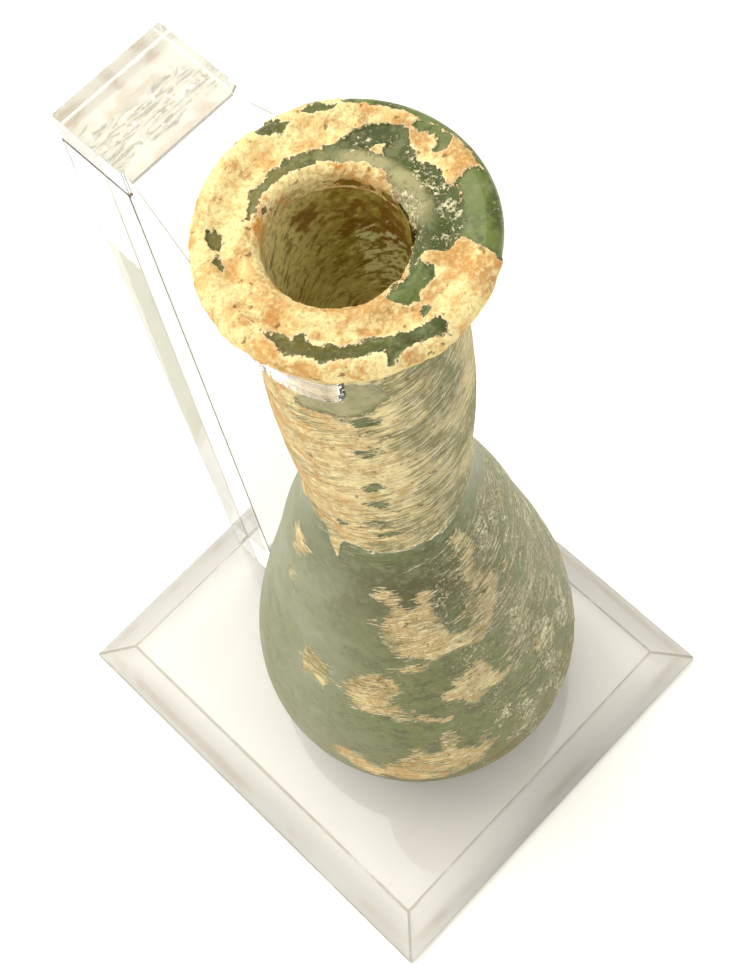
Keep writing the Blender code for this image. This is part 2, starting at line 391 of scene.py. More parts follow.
def outer_glass(name):
    """Grey-green glass under a tan weathering crust, steered by the attributes on the mesh."""
    g = Graph(name)
    at = g.place()
    flow = g.attribute("flow", vector=True)
    combed = g.attribute("combed")
    broad = g.noise(at, 130, 3, 0.55)
    cloud = g.noise(at, 330, 4, 0.6, 0.4)
    middle = g.noise(at, 640, 5, 0.64)
    fine = g.noise(at, 2600, 4, 0.7)
    streak = g.noise(flow, 1.0, 4, 0.62)
    streak_fine = g.noise(flow, 2.6, 4, 0.68)
    fibre = g.math("ADD", g.math("MULTIPLY", streak, 0.55), g.math("MULTIPLY", streak_fine, 0.45))

    # Bare glass
    # Bare glass made darker: a deeper green tone in places, and painted shade under the neck on the front
    glass = g.mix(g.attribute("deep_tone_and_shade"), (0.110, 0.148, 0.036), (0.036, 0.044, 0.005))
    glass = g.mix(g.math("MULTIPLY", g.ramp(cloud, 0.3, 0.62), g.attribute("warm")), glass, (0.24, 0.145, 0.026))
    glass = g.mix(g.math("MULTIPLY", g.ramp(cloud, 0.48, 0.60), 0.72), glass, (0.044, 0.066, 0.012))
    glass = g.mix(g.math("MULTIPLY", g.ramp(middle, 0.50, 0.36), 0.5), glass, (0.19, 0.205, 0.105))
    spots = g.ramp(g.noise(at, 820, 3, 0.6), 0.57, 0.66)
    glass = g.mix(g.math("MULTIPLY", spots, 0.6), glass, (0.045, 0.040, 0.010))
    speck = g.ramp(g.noise(at, 1500, 4, 0.7), 0.50, 0.66)
    glass = g.mix(g.math("MULTIPLY", speck, 0.25), glass, (0.215, 0.23, 0.12))
    frost = g.math("ADD", 0.35, g.math("MULTIPLY", g.ramp(g.math("ADD", broad, middle), 0.80, 1.25), 0.65))
    glass = g.mix(g.math("MULTIPLY", frost, g.attribute("frost")), glass, (0.190, 0.210, 0.125))
    film = g.math("ADD", g.attribute("film"), g.math("MULTIPLY", g.math("SUBTRACT", middle, 0.5), 1.6))
    glass = g.mix(g.math("MULTIPLY", g.ramp(film, 0.35, 1.0), 0.8), glass, (0.37, 0.335, 0.17))

    # Pale threads lie along the flow, as many as the attribute says
    thread = g.math("ADD", fibre, g.math("MULTIPLY", g.attribute("pale"), 0.13))
    thread = g.math("ADD", thread, g.math("MULTIPLY", g.math("SUBTRACT", cloud, 0.5), 0.35))
    threads = g.ramp(thread, 0.60, 0.69)
    pale_tint = g.mix(g.ramp(fine, 0.35, 0.65), (0.23, 0.21, 0.12), (0.56, 0.52, 0.36))
    skin = g.mix(threads, glass, pale_tint)

    # Sparkling flakes where the film has broken up
    flake = g.math("ADD", g.noise(at, 2500, 4, 0.75), g.math("MULTIPLY", g.attribute("sparkle"), 0.2))
    flake = g.math("MULTIPLY", g.ramp(flake, 0.62, 0.69), g.ramp(g.attribute("sparkle"), 0.02, 0.3))
    skin = g.mix(flake, skin, g.mix(g.ramp(middle, 0.4, 0.6), (0.26, 0.25, 0.13), (0.60, 0.57, 0.37)))

    # Crust
    edge = g.math("ADD", g.attribute("crust"), g.math("MULTIPLY", g.math("SUBTRACT", middle, 0.5), 1.1))
    edge = g.math("ADD", edge, g.math("MULTIPLY", g.math("SUBTRACT", fine, 0.5), 0.8))
    frayed = g.math("MULTIPLY", g.math("SUBTRACT", fibre, 0.5), g.attribute("fray"))
    edge = g.math("ADD", edge, g.math("MULTIPLY", frayed, 12.0))
    covered = g.ramp(edge, -0.05, 0.06)
    mottle = g.math("ADD", g.math("MULTIPLY", cloud, 0.6), g.math("MULTIPLY", middle, 0.4))
    # Painted light: the crust lighter on the lit side, and lighter where its faces turn away from the light
    mottle = g.math("ADD", mottle, g.math("MULTIPLY", g.attribute("painted_light"), 0.12))
    tan = g.mix(g.attribute("ash"), (0.52, 0.29, 0.09), (0.42, 0.36, 0.20))
    light_tan = g.mix(g.attribute("ash"), (0.83, 0.69, 0.32), (0.68, 0.60, 0.34))
    cream = g.mix(g.ramp(mottle, 0.46, 0.60), tan, light_tan)
    calm = g.math("SUBTRACT", 1.0, g.math("MULTIPLY", combed, 0.6))
    grains = g.math("MULTIPLY", g.ramp(fine, 0.48, 0.64), g.math("MULTIPLY", calm, 0.38))
    cream = g.mix(grains, cream, (0.92, 0.83, 0.48))
    grime = g.math("MULTIPLY", g.ramp(fine, 0.50, 0.36), g.math("MULTIPLY", calm, 0.42))
    cream = g.mix(grime, cream, (0.36, 0.19, 0.055))
    gap = g.math("ADD", fibre, g.math("MULTIPLY", combed, 0.075))
    gap = g.math("ADD", gap, g.math("MULTIPLY", g.math("SUBTRACT", cloud, 0.5), 0.30))
    gap = g.math("ADD", gap, g.math("MULTIPLY", g.math("SUBTRACT", broad, 0.5), 0.45))
    gap = g.math("MULTIPLY", g.ramp(gap, 0.51, 0.62), g.ramp(combed, 0.0, 0.3))
    gap_tint = g.mix(g.attribute("ash"), (0.25, 0.185, 0.07), (0.120, 0.140, 0.062))
    cream = g.mix(g.math("MULTIPLY", gap, 0.85), cream, gap_tint)
    wisps = g.math("MULTIPLY", g.ramp(streak_fine, 0.53, 0.62), g.ramp(combed, 0.0, 0.3))
    wisp_tint = g.mix(g.attribute("ash"), (0.86, 0.73, 0.42), (0.90, 0.85, 0.64))
    cream = g.mix(g.math("MULTIPLY", wisps, 0.8), cream, wisp_tint)
    rust_noise = g.ramp(g.noise(at, 420, 5, 0.7, 0.6), 0.46, 0.64)
    crust = g.mix(g.math("MULTIPLY", rust_noise, g.attribute("rust")), cream, (0.56, 0.27, 0.065))
    pits = g.ramp(g.noise(at, 1100, 3, 0.5), 0.64, 0.71)
    crust = g.mix(g.math("MULTIPLY", pits, 0.8), crust, (0.20, 0.11, 0.035))
    lip = g.math("MULTIPLY", covered, g.math("SUBTRACT", 1.0, g.ramp(edge, 0.10, 0.24)))
    crust = g.mix(g.math("MULTIPLY", lip, g.attribute("lipped")), crust, (0.96, 0.92, 0.74))

    g.shade("Base Color", g.mix(covered, skin, crust))
    rough_glass = g.math("ADD", 0.14, g.math("MULTIPLY", g.attribute("satin"), 0.36))
    rough_glass = g.math("ADD", rough_glass, g.math("MULTIPLY", threads, 0.25))
    g.shade("Roughness", g.mix(covered, rough_glass, (0.85, 0.85, 0.85)))
    g.shade("IOR", GLASS_IOR)
    g.shade("Specular IOR Level", OUTSIDE_SHEEN)
    grain = g.math("ADD", g.math("MULTIPLY", middle, 0.8), g.math("MULTIPLY", fine, 1.2))
    grain = g.math("SUBTRACT", grain, g.math("MULTIPLY", pits, 0.5))
    grain = g.math("MULTIPLY", grain, g.math("ADD", covered, 0.05))
    combing = g.math("MULTIPLY", g.math("MULTIPLY", fibre, combed), g.math("MULTIPLY", covered, 2.2))
    relief = g.math("ADD", grain, g.math("MULTIPLY", threads, 0.25))
    relief = g.math("ADD", relief, combing)
    relief = g.math("ADD", relief, g.math("MULTIPLY", flake, 0.6))
    g.shade("Normal", g.bump(relief, 0.8, 0.00024))
    return g.mat


def inner_glass(name):
    """The inside of the vessel: olive film with brown stains, painted shade and white frost, painted lighter and
    given a glow that stand in for light through the wall.
    """
    g = Graph(name)
    at = g.place()
    middle = g.noise(at, 420, 5, 0.65, 0.3)
    fine = g.noise(at, 1800, 4, 0.65)
    flow = g.noise(g.attribute("flow", vector=True), 1.0, 5, 0.66)
    # Paler zone near the top on one side, and painted light deep down standing in for light through the wall
    base = g.mix(g.attribute("light"), (0.205, 0.168, 0.036), (0.46, 0.42, 0.22))
    base = g.mix(g.math("MULTIPLY", g.ramp(flow, 0.50, 0.62), 0.5), base, (0.40, 0.36, 0.15))
    base = g.mix(g.math("MULTIPLY", g.ramp(flow, 0.49, 0.38), 0.75), base, (0.115, 0.072, 0.009))
    base = g.mix(g.math("MULTIPLY", g.ramp(fine, 0.52, 0.62), 0.45), base, (0.105, 0.065, 0.010))
    # Brown stains, with painted shade just below the lip added into them
    stain_and_shade_level = g.math("ADD", g.attribute("stain_and_shade"), g.math("MULTIPLY", g.math("SUBTRACT", middle, 0.5), 3.0))
    base = g.mix(g.math("MULTIPLY", g.ramp(stain_and_shade_level, 0.40, 0.80), 0.85), base, (0.115, 0.055, 0.006))
    frosted = g.math("ADD", g.attribute("frost"), g.math("MULTIPLY", g.math("SUBTRACT", flow, 0.5), 3.2))
    base = g.mix(g.math("MULTIPLY", g.ramp(frosted, 0.50, 0.95), 0.85), base, (0.46, 0.46, 0.31))
    g.shade("Base Color", base)
    # Painted glow: emission in the inside's own colour, standing in for light through the wall
    g.shade("Emission Color", g.mix(1.0, base, (1.0, 0.88, 0.55), "MULTIPLY"))
    g.shade("Emission Strength", INSIDE_GLOW)
    g.shade("Roughness", g.math("ADD", 0.35, g.math("MULTIPLY", middle, 0.4)))
    g.shade("IOR", GLASS_IOR)
    g.shade("Specular IOR Level", INSIDE_SHEEN)
    g.shade("Normal", g.bump(g.math("ADD", middle, fine), 0.3, 0.0001))
    return g.mat


def acrylic_colour(g, at):
    """Where the plastic is smudged, and its tint there."""
    smudge = g.noise(g.scaled(at, (1.0, 1.0, 0.35)), 90, 5, 0.6, 0.6)
    return smudge, g.mix(g.ramp(smudge, 0.3, 0.8), (1.0, 1.0, 0.998), (0.990, 0.988, 0.980))


def acrylic_finish(g, at, tint, roughness):
    """See-through plastic with a slightly wavy polish."""
    g.shade("Transmission Weight", 1.0)
    g.shade("IOR", ACRYLIC_IOR)
    g.shade("Base Color", tint)
    g.shade("Roughness", roughness)
    g.shade("Normal", g.bump(g.noise(at, 110, 2, 0.5), 0.04, 0.0002))
    return g.mat


def smudged(g, smudge):
    return g.math("MULTIPLY", g.ramp(smudge, 0.5, 0.85), 0.05)


def clear_acrylic(name):
    """Clear plastic with faint smudges."""
    g = Graph(name)
    at = g.place()
    smudge, tint = acrylic_colour(g, at)
    return acrylic_finish(g, at, tint, smudged(g, smudge))


def polished_edge(name, edge_shade_tint, low, high, axis):
    """The acrylic's narrow edges, with painted shade that makes them greyer between two heights or depths
    (metres) along an axis.
    """
    g = Graph(name)
    at = g.place()
    edge_shade_breakup = g.noise(at, 160, 4, 0.6)
    along = g.axes(at)[axis]
    start = g.ramp(along, low - EDGE_FADE, low + EDGE_FADE)
    fade = g.math("MULTIPLY", start, g.ramp(along, high + EDGE_FADE, high - EDGE_FADE))
    fade = g.math("MULTIPLY", fade, g.ramp(edge_shade_breakup, 0.25, 0.50))
    g.shade("Transmission Weight", 1.0)
    g.shade("IOR", ACRYLIC_IOR)
    g.shade("Roughness", g.math("SUBTRACT", 0.65, g.math("MULTIPLY", fade, 0.5)))
    g.shade("Base Color", g.mix(fade, (1.0, 0.995, 0.97), edge_shade_tint))
    return g.mat


def bevelled_acrylic(name):
    """The slab's clear plastic, with painted grey-brown bands and fine lines along its bevel that stand in for
    its reflections.
    """
    g = Graph(name)
    at = g.place()
    smudge, tint = acrylic_colour(g, at)
    x, y, z = g.axes(at)
    side = g.math("SUBTRACT", SLAB_WIDTH / 2 * MM, g.math("ABSOLUTE", x))
    end = g.math("SUBTRACT", SLAB_DEPTH / 2 * MM, g.math("ABSOLUTE", y))
    inset = g.math("MULTIPLY", g.math("MINIMUM", side, end), 1000.0)
    top = g.ramp(z, 0.0002, 0.0005)
    # Painted reflections: a grey-brown band along the bevel's top faces
    drift = g.noise(at, 60, 3, 0.6, 0.5)
    wavy = g.math("ADD", inset, g.math("MULTIPLY", g.math("SUBTRACT", drift, 0.5), 1.2))
    painted_band = g.math("MULTIPLY", g.ramp(wavy, 0.5, 1.1), g.ramp(wavy, 2.2, 1.5))
    painted_band = g.math("MULTIPLY", painted_band, g.ramp(drift, 0.35, 0.6))
    tint = g.mix(g.math("MULTIPLY", g.math("MULTIPLY", painted_band, top), 0.9), tint, (0.74, 0.69, 0.61))
    # Painted reflection: a fine darker line at the bevel's inner edge, stronger at the left end
    painted_line = g.math("MULTIPLY", g.ramp(inset, 4.15, 4.4), g.ramp(inset, 4.8, 4.55))
    painted_line = g.math("MULTIPLY", painted_line, g.ramp(g.noise(at, 110, 3, 0.6), 0.38, 0.55))
    left_end = g.math("MULTIPLY", g.ramp(x, -0.022, -0.024), 0.65)
    painted_line = g.math("MULTIPLY", painted_line, g.math("ADD", 0.35, left_end))
    tint = g.mix(g.math("MULTIPLY", g.math("MULTIPLY", painted_line, top), 0.9), tint, (0.36, 0.33, 0.28))
    # The underside is scuffed from standing
    scuffed = g.math("MULTIPLY", g.math("SUBTRACT", 1.0, top), 0.5)
    return acrylic_finish(g, at, tint, g.math("ADD", smudged(g, smudge), scuffed))


def dried_cement(name):
    """Whitish cement film with streaks along the post's width and brown blotches, and a painted glow."""
    g = Graph(name)
    at = g.place()
    streak = g.noise(g.scaled(at, (420.0, 2400.0, 90.0)), 1.0, 6, 0.68, 1.0)
    grain = g.noise(at, 1500, 4, 0.7)
    blotch = g.noise(at, 260, 3, 0.5)
    colour = g.mix(g.ramp(streak, 0.42, 0.56), (0.34, 0.34, 0.25), (0.82, 0.79, 0.64))
    colour = g.mix(g.ramp(grain, 0.54, 0.64), colour, (0.97, 0.96, 0.90))
    plain = g.mix(g.ramp(blotch, 0.48, 0.62), (0.88, 0.84, 0.72), (0.66, 0.56, 0.42))
    colour = g.mix(g.attribute("squeezed"), plain, colour)
    g.shade("Base Color", colour)
    # Painted glow: emission in the cement's own colour, standing in for light through the plastic
    g.shade("Emission Color", colour)
    g.shade("Emission Strength", CEMENT_GLOW)
    g.shade("Roughness", 0.5)
    g.shade("Transmission Weight", 0.3)
    g.shade("IOR", CEMENT_IOR)
    g.shade("Normal", g.bump(g.math("ADD", streak, grain), 0.6, 0.0002))
    return g.mat


# Marks on the rim's top face, as outlines of (x, y) in millimetres from the flask's axis

BARE_ON_RIM = {
    "crescent": [(-11.1, -1.1), (-10.1, -3.4), (-9.1, -4.3), (-8.7, -5.7), (-7.8, -7.0), (-6.0, -8.3),
                 (-4.7, -9.3), (-3.3, -10.1), (-1.7, -10.9), (-0.7, -11.2), (-0.6, -12.1), (-1.3, -12.4),
                 (-3.2, -11.7), (-4.6, -11.1), (-6.1, -10.8), (-5.7, -10.1), (-7.9, -8.7), (-9.8, -7.1),
                 (-10.4, -5.6), (-11.2, -4.3), (-11.2, -2.6)],
    "arc": [(-4.9, 6.4), (-3.5, 7.3), (-2.7, 8.2), (-1.7, 7.7), (-0.3, 8.3), (0.5, 7.7), (1.4, 8.3), (2.3, 7.5),
            (3.6, 7.0), (5.2, 6.1), (7.1, 6.0), (8.4, 5.3), (9.2, 4.0), (8.5, 2.4), (6.4, 2.8), (5.4, 2.9),
            (4.0, 4.4), (2.6, 5.5), (0.9, 6.3), (-1.1, 6.5), (-2.8, 6.3), (-4.5, 5.7)],
    "quadrant": [(5.1, 6.0), (8.3, 5.2), (9.3, 4.2), (9.7, 2.5), (8.6, 0.6), (8.8, -1.7), (8.6, -4.5),
                 (7.0, -6.9), (5.7, -7.2), (4.2, -7.4), (2.6, -6.4), (1.3, -5.9), (2.5, -4.8), (4.0, -2.9),
                 (4.4, -1.6), (5.1, 0.1), (5.6, 1.3), (5.4, 2.8)],
    "edge": [(8.8, 9.0), (10.2, 9.6), (13.8, 4.8), (14.2, -2.0), (12.6, -7.6), (9.4, -11.6), (7.4, -12.0),
             (6.3, -10.6), (5.8, -9.7), (5.9, -7.2), (7.2, -6.0), (9.3, -3.6), (10.6, -3.8), (11.2, -4.4),
             (11.9, -2.8), (12.2, -0.5), (11.8, 0.9), (11.0, 3.4), (10.3, 5.4), (9.3, 6.8), (8.2, 8.3)],
    "pane": [(10.7, 3.0), (11.6, 1.2), (11.6, -0.8), (10.6, -1.2), (10.1, -0.4), (10.9, 0.5), (10.4, 1.8)],
    "upper": [(1.0, 12.8), (2.7, 12.6), (3.4, 11.3), (4.2, 10.1), (3.3, 10.2), (2.1, 10.5), (1.4, 11.3)],
    "upper_right": [(5.6, 10.4), (6.9, 9.7), (8.0, 8.4), (7.1, 8.5), (5.7, 9.6), (5.0, 10.4)],
    "left_spot": [(-7.7, 7.8), (-7.1, 7.6), (-7.2, 7.0), (-8.1, 6.2), (-8.7, 6.4), (-8.3, 7.3)],
    "left_nick": [(-9.3, 5.5), (-8.5, 5.8), (-8.8, 5.2), (-9.4, 4.3)],
    "low_spot": [(-1.1, -6.6), (0.3, -6.5), (1.9, -6.4), (2.1, -7.6), (1.6, -8.2), (0.1, -8.5), (-0.7, -9.1),
                 (-1.6, -8.7), (-2.1, -7.8), (-2.6, -6.9)],
    "low_nick": [(-1.5, -9.7), (-0.6, -9.4), (-0.8, -10.1), (-1.7, -10.2)],
}
CRUST_IN_BARE = {
    "tan_right": [(8.7, -1.4), (10.7, -1.1), (12.0, -0.3), (12.1, -1.2), (11.5, -2.7), (11.3, -4.2),
                  (10.4, -3.7), (9.3, -3.6), (8.8, -2.6)],
    "tan_upper": [(9.7, 1.9), (10.5, 1.6), (11.1, 0.5), (10.3, -0.3), (9.4, 0.1), (9.2, 0.9)],
    "tan_small": [(6.4, 3.8), (7.4, 4.0), (7.8, 3.2), (7.0, 2.4), (6.2, 2.8)],
}

# Marks on the neck and body, as outlines of (degrees round the axis, millimetres above the foot)

NECK_SKIRT = [(148, 68.0), (163, 69.8), (170, 68.7), (178, 68.5), (183, 66.1), (188, 64.2), (190, 63.5),
              (191, 66.7), (194, 67.8), (202, 67.7), (210, 67.0), (218, 67.0), (228, 67.3), (238, 67.5),
              (249, 67.8), (262, 67.9), (268, 68.1), (277, 69.6), (295, 70.6), (312, 71.8), (335, 70.2),
              (360, 69.0), (385, 70.8), (410, 68.2), (440, 70.4), (470, 67.6), (508, 68.0)]
BARE_ON_NECK = {
    "window": [(-176, 101.2), (-162, 103.6), (-143, 106.5), (-127, 106.4), (-120, 103.6), (-129, 102.3),
               (-138, 101.3), (-147, 100.6), (-158, 100.9), (-170, 100.5)],
    "spot_1": [(-141, 99.9), (-134, 100.4), (-128, 99.8), (-131, 99.3), (-139, 99.4)],
    "spot_2": [(-143, 94.3), (-130, 94.3), (-132, 93.3), (-137, 93.1), (-141, 93.5)],
    "spot_3": [(-142, 85.5), (-137, 86.3), (-133, 85.7), (-136, 84.3), (-140, 84.5)],
    "spot_4": [(-144, 80.7), (-138, 81.4), (-131, 80.7), (-135, 79.5), (-140, 80.1)],
    "spot_5": [(-150, 74.3), (-141, 75.5), (-133, 74.8), (-136, 73.3), (-141, 73.7)],
    "spot_6": [(-142, 71.2), (-135, 71.9), (-128, 71.6), (-135, 70.7)],
    "nick": [(-170, 73.3), (-164, 72.7), (-161, 72.7), (-168, 71.4)],
}
CRUST_ON_BODY = {
    "horns": [(-150, 58.6), (-143, 60.1), (-138, 59.5), (-130, 57.1), (-125, 56.7), (-124, 58.6), (-119, 59.8),
              (-114, 57.5), (-118, 56.0), (-115, 53.4), (-114, 51.1), (-108, 49.4), (-104, 49.1), (-99, 50.2),
              (-101, 52.9), (-97, 55.5), (-96, 58.0), (-89, 56.7), (-80, 55.9), (-77, 54.2), (-81, 51.4),
              (-88, 48.9), (-93, 45.6), (-100, 44.8), (-106, 44.9), (-113, 46.1), (-121, 45.3), (-136, 46.5),
              (-140, 49.1), (-145, 50.7), (-144, 52.9), (-148, 53.9), (-140, 55.9), (-138, 56.9)],
    "upper_right": [(-97, 65.5), (-89, 66.4), (-82, 64.0), (-81, 61.4), (-84, 59.9), (-84, 56.7), (-90, 54.5),
                    (-96, 58.0), (-96, 61.6)],
    "low_left": [(173, 36.7), (178, 39.9), (185, 39.9), (190, 39.0), (191, 36.4), (188, 33.6), (182, 34.0),
                 (176, 33.3)],
    "centre": [(-164, 36.3), (-159, 40.1), (-149, 42.2), (-141, 41.5), (-138, 39.1), (-142, 35.9), (-135, 34.2),
               (-143, 32.7), (-152, 32.4), (-159, 33.5)],
    "thin": [(-144, 32.9), (-134, 33.1), (-119, 31.2), (-120, 30.0), (-131, 31.8), (-140, 31.5)],
    "sliver": [(-142, 43.5), (-133, 44.6), (-124, 45.2), (-127, 43.2), (-135, 42.9)],
    "right": [(-125, 36.0), (-118, 37.9), (-114, 40.0), (-105, 41.6), (-98, 39.3), (-96, 35.1), (-87, 34.8),
              (-95, 33.3), (-103, 33.5), (-109, 31.4), (-116, 34.5)],
    "bottom": [(-147, 17.2), (-141, 20.5), (-135, 24.1), (-129, 21.9), (-124, 24.3), (-112, 20.5), (-110, 24.4),
               (-108, 23.7), (-108, 18.9), (-111, 16.3), (-118, 14.3), (-128, 12.2), (-139, 12.0),
               (-146, 13.9)],
    "olive": [(-126, 26.5), (-123, 28.4), (-117, 26.0), (-121, 23.5), (-125, 23.0)],
    "low_edge": [(-169, 17.2), (-162, 19.8), (-155, 19.4), (-152, 16.9), (-146, 15.6), (-150, 11.4),
                 (-159, 14.0)],
    "ember": [(151, 55.3), (149, 58.9), (153, 61.0), (161, 60.1), (167, 59.4), (160, 55.9)],
    "chip": [(151, 48.9), (156, 51.4), (161, 51.7), (158, 49.5)],
}

CRUST_LIFT = 0.22
GLASS_LEVEL = -0.22
# Grid spacing in millimetres and points round, for each stretch
RIM_GRID = (0.128, 640)
NECK_GRID = (0.235, 420)
BODY_GRID = (0.42, 420)
INSIDE_GRID = (0.6, 200)
# The rim starts this far below the neck's top, and the body ends where the neck has begun
RIM_OVERLAP = 2.0
NECK_START_Z = 61.5
BODY_END_Z = 62.0


def roughened(depth, pts, amount, size, seed):
    """A signed distance with a ragged edge."""
    return depth + amount * fractal(pts, size, 4, seed)


def build_rim(material):
    profile = [(z, r, 0.0) for z, r in body_profile() if z > NECK_TOP_Z - RIM_OVERLAP] + rim_profile()
    skin = Skin(profile, *RIM_GRID)
    p = skin.base
    x, y, z = p[:, 0], p[:, 1], p[:, 2]
    flat = np.hypot(x - skin.shift, y)
    crust = np.full(len(p), 3.0)
    bare = {key: depth_in(outline, x, y) for key, outline in BARE_ON_RIM.items()}
    for depth in bare.values():
        crust = np.minimum(crust, -depth)
    for outline in CRUST_IN_BARE.values():
        crust = np.maximum(crust, depth_in(outline, x, y) - 0.05)
    # The raised collar round the mouth keeps its crust on the far and left sides
    collar = 0.38 - np.abs(np.hypot(x - MOUTH_SHIFT, y) - 6.62)
    collar = np.minimum(collar, (75 - angle_gap(np.arctan2(y, x - MOUTH_SHIFT), 82)) * 0.05)
    crust = np.maximum(crust, collar)
    under = smoothstep(RIM_UNDER_Z + 0.9, RIM_UNDER_Z - 0.6, z)
    crust = np.where(z < RIM_UNDER_Z + 1.2, np.maximum(crust, 0.8 * under + crust * (1 - under)), crust)
    marks = np.minimum(np.abs(bare["crescent"]), np.abs(bare["arc"]))
    crust = np.clip(crust, -2.5, 2.5)
    crust = roughened(crust, p, 0.16 + 0.14 * smoothstep(0.3, 1.2, marks), 1.0, 11)
    cover = smoothstep(-0.06, 0.08, crust)
    lumps = fractal(p, 1.3, 5, 21, 0.7)
    lift = GLASS_LEVEL + CRUST_LIFT * cover + cover * 0.085 * np.clip(lumps, -1.3, 0.9)
    outer = smoothstep(CREST_R + 0.2, RIM_R, flat)
    near = smoothstep(95, 40, angle_gap(skin.angle, -135))
    lift = lift + 0.2 * smoothstep(-0.2, 0.4, bare["edge"]) * (1 - cover) * outer
    lift = lift + outer * near * (0.20 + 0.14 * fractal(p, 1.6, 4, 31)) * cover
    mouth_angle = np.arctan2(y, x - MOUTH_SHIFT)
    from_mouth = np.hypot(x - MOUTH_SHIFT, y)
    lip = smoothstep(1.2, 0.2, np.abs(from_mouth - MOUTH_R - 0.3))
    lip = lip * smoothstep(70, 30, angle_gap(mouth_angle, -45))
    lift = lift - lip * (0.14 + 0.22 * np.clip(fractal(p, 1.2, 3, 33), -0.6, 1))
    top_limit = HEIGHT - 0.02
    left_side = smoothstep(120, 40, angle_gap(skin.angle, 150))
    in_quadrant = smoothstep(-0.5, 0.5, bare["quadrant"])
    in_crescent, in_arc, in_edge = (smoothstep(-0.3, 0.3, bare[k]) for k in ("crescent", "arc", "edge"))
    ring_film = smoothstep(2.2, 0.5, from_mouth - COLLAR_R) * smoothstep(70, 25, angle_gap(mouth_angle, 5))
    values = {
        "crust": crust,
        "deep_tone_and_shade": np.clip(0.15 + 0.55 * in_quadrant + 0.65 * in_crescent + 0.3 * in_arc - 0.1 * in_edge
                        + 0.7 * in_edge * smoothstep(HEIGHT - 0.9, HEIGHT - 1.8, z), 0, 1),
        "warm": np.clip(0.75 * left_side, 0, 0.9) * (1 - 0.7 * in_quadrant) * (1 - 0.4 * in_crescent),
        "frost": np.zeros(len(p)),
        "film": 0.9 * ring_film + 0.35 * left_side,
        "pale": np.zeros(len(p)),
        "sparkle": in_quadrant * (0.42 + 0.5 * np.clip(fractal(p, 2.2, 3, 23), -1, 1)) + 0.35 * lip,
        "rust": 0.52 + 0.30 * outer + 0.9 * smoothstep(-0.1, 0.3, collar)
                + 0.3 * smoothstep(1.0, 0.0, from_mouth - MOUTH_R),
        # Painted light: lighter crust on the left and far side, where the light comes from, and on the rim's
        # shaded near edge
        "painted_light": 0.35 * left_side + 0.5 * smoothstep(100, 40, angle_gap(skin.angle, 90))
                  + 0.6 * outer * near,
        "ash": np.full(len(p), 0.2),
        "combed": np.zeros(len(p)),
        "fray": np.zeros(len(p)),
        "lipped": np.full(len(p), 0.25),
        "satin": np.clip(0.9 - 1.0 * smoothstep(-0.2, 0.5, bare["edge"]), 0, 1),
        "flow": p * 1.6,
    }
    # No lump stands above the rim's full height
    too_high = skin.z + skin.nz * lift > top_limit
    skin.nz = np.where(too_high, (top_limit - skin.z) / np.where(lift == 0, 1, lift), skin.nz)
    return skin.make("flask_rim", lift, values, material)


def build_neck(material):
    profile = [(z, r, 0.0) for z, r in body_profile() if NECK_START_Z < z]
    profile.append((NECK_TOP_Z + 0.05, NECK_TOP_R, 0.0))
    skin = Skin(profile, *NECK_GRID)
    return finish_wall(skin, "flask_neck", material)


def build_body(material):
    profile = [(z, r, 0.0) for z, r in body_profile() if z < BODY_END_Z]
    skin = Skin(profile, *BODY_GRID)
    return finish_wall(skin, "flask_body", material)


